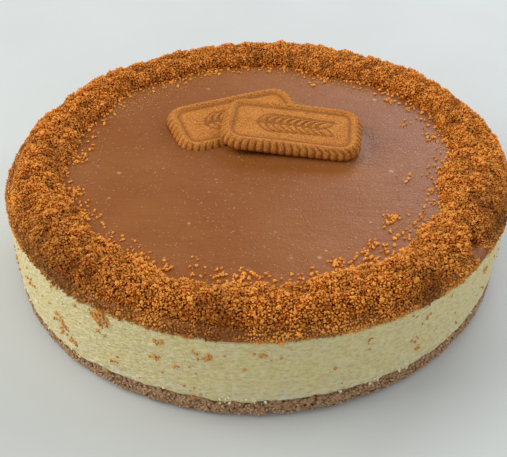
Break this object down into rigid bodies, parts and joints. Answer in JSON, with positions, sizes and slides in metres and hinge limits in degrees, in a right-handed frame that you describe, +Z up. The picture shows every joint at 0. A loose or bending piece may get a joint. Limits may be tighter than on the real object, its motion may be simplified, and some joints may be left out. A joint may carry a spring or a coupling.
{
  "type": "cheesecake",
  "caption": "Whole round chilled cheesecake: pressed crumb base, cheese filling, smooth brown spread, crumb rim and crossed finger biscuits on top.",
  "frame": {"origin": "centre of the flat underside that the cheesecake rests on", "axes": "+Z up through the middle of the cake; -Y towards the side that the picture is taken from"},
  "size_m": [0.2008, 0.2009, 0.0517],
  "materials": {
    "crumb_base": "matte pressed biscuit crumb",
    "cheese_filling": "soft satin set cream cheese",
    "spread_layer": "satin set biscuit spread",
    "biscuit_crumbs": "dry loose biscuit crumb",
    "baked_biscuit": "dry baked biscuit"
  },
  "bodies": {
    "root": {"crumb_base": "crumb_base", "cheese_filling": "cheese_filling", "spread_layer": "spread_layer", "crumb_ring": "biscuit_crumbs", "biscuit_back": "baked_biscuit", "biscuit_front": "baked_biscuit"}
  },
  "joints": []
}
